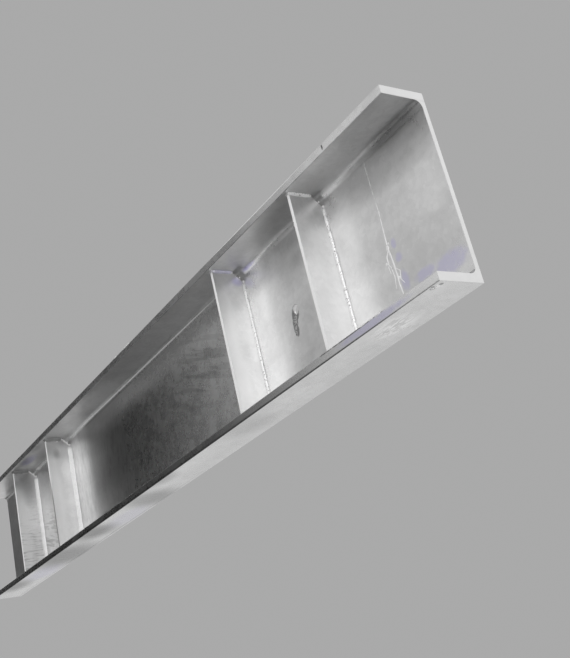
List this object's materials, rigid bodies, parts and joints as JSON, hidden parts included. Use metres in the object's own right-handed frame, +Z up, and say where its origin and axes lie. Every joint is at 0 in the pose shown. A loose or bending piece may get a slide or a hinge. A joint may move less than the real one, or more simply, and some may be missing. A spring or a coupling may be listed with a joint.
{
  "type": "steel channel beam",
  "caption": "Galvanised steel C-section beam with parallel flanges, sniped stiffener plates fillet-welded between the flanges and lifting holes in the web.",
  "frame": {"origin": "middle of the underside of the bottom flange, halfway along the beam", "axes": "+X along the beam towards the end that is near in the picture; +Y out of the back of the web, so the open side faces -Y; +Z up across the depth of the section"},
  "size_m": [2.47, 0.1, 0.38],
  "materials": {
    "channel": "hot-dip galvanised, semi-gloss grey zinc with streaks",
    "stiffener": "hot-dip galvanised, semi-gloss grey zinc",
    "weld": "fillet weld under bright zinc"
  },
  "bodies": {
    "root": {"channel": "channel", "stiffener_1": "stiffener", "stiffener_2": "stiffener", "stiffener_3": "stiffener", "stiffener_4": "stiffener", "web_weld_1": "weld", "top_weld_1": "weld", "bottom_weld_1": "weld", "web_weld_2": "weld", "top_weld_2": "weld", "bottom_weld_2": "weld", "web_weld_3": "weld", "top_weld_3": "weld", "bottom_weld_3": "weld", "web_weld_4": "weld", "top_weld_4": "weld", "bottom_weld_4": "weld"}
  },
  "joints": []
}
